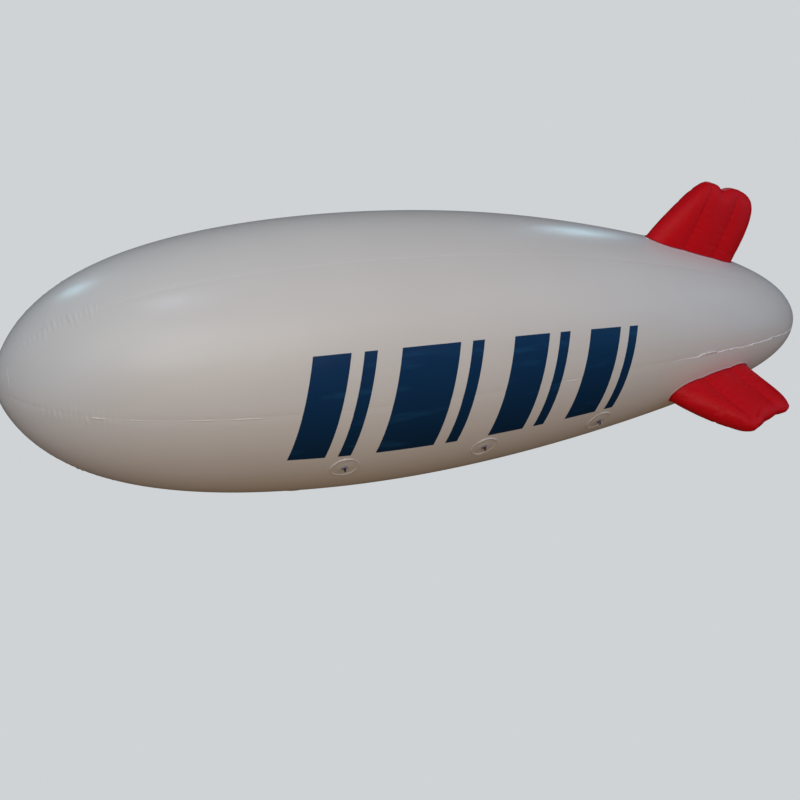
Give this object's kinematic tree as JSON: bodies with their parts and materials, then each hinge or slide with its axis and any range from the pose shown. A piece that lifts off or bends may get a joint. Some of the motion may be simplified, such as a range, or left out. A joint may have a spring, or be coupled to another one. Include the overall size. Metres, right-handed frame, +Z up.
{
  "type": "advertising blimp balloon",
  "caption": "Helium advertising blimp: long white gored hull with a blunt nose, inflated red tail fins and moulded tether eyes on round patches.",
  "frame": {"origin": "the centre of lift, on the straight axis of the hull, 2.275 m behind the nose", "axes": "+X along the hull from nose to tail, +Z up through the top fin, -Y is the balloon's left side as seen in the picture"},
  "size_m": [5, 1.6844, 1.6376],
  "materials": {
    "hull_film": "white PVC film, satin, welded",
    "fin_cloth": "coated nylon cloth, deep red, inflated",
    "fin_hem": "folded and welded cloth hem, deep red",
    "patch_film": "thicker translucent white PVC, welded on",
    "eye_plastic": "moulded PVC, dark blue-grey",
    "valve_plastic": "moulded plastic, pale grey"
  },
  "bodies": {
    "root": {"fin_left_front_lobe": "fin_cloth", "fin_left_middle_lobe": "fin_cloth", "fin_left_rear_lobe": "fin_cloth", "fin_left_root_band": "fin_hem", "fin_right_front_lobe": "fin_cloth", "fin_right_middle_lobe": "fin_cloth", "fin_right_rear_lobe": "fin_cloth", "fin_right_root_band": "fin_hem", "fin_top_front_lobe": "fin_cloth", "fin_top_middle_lobe": "fin_cloth", "fin_top_rear_lobe": "fin_cloth", "fin_top_root_band": "fin_hem", "gore_bottom": "hull_film", "gore_left_lower": "hull_film", "gore_left_upper": "hull_film", "gore_right_lower": "hull_film", "gore_right_upper": "hull_film", "gore_top": "hull_film", "nose_cap": "hull_film", "tail_cap": "hull_film", "tether_eye_left_front": "eye_plastic", "tether_eye_left_middle": "eye_plastic", "tether_eye_left_rear": "eye_plastic", "tether_eye_right_front": "eye_plastic", "tether_eye_right_middle": "eye_plastic", "tether_eye_right_rear": "eye_plastic", "tether_patch_left_front": "patch_film", "tether_patch_left_middle": "patch_film", "tether_patch_left_rear": "patch_film", "tether_patch_right_front": "patch_film", "tether_patch_right_middle": "patch_film", "tether_patch_right_rear": "patch_film", "valve_cap": "valve_plastic", "valve_collar": "valve_plastic", "valve_flange": "patch_film"}
  },
  "joints": []
}
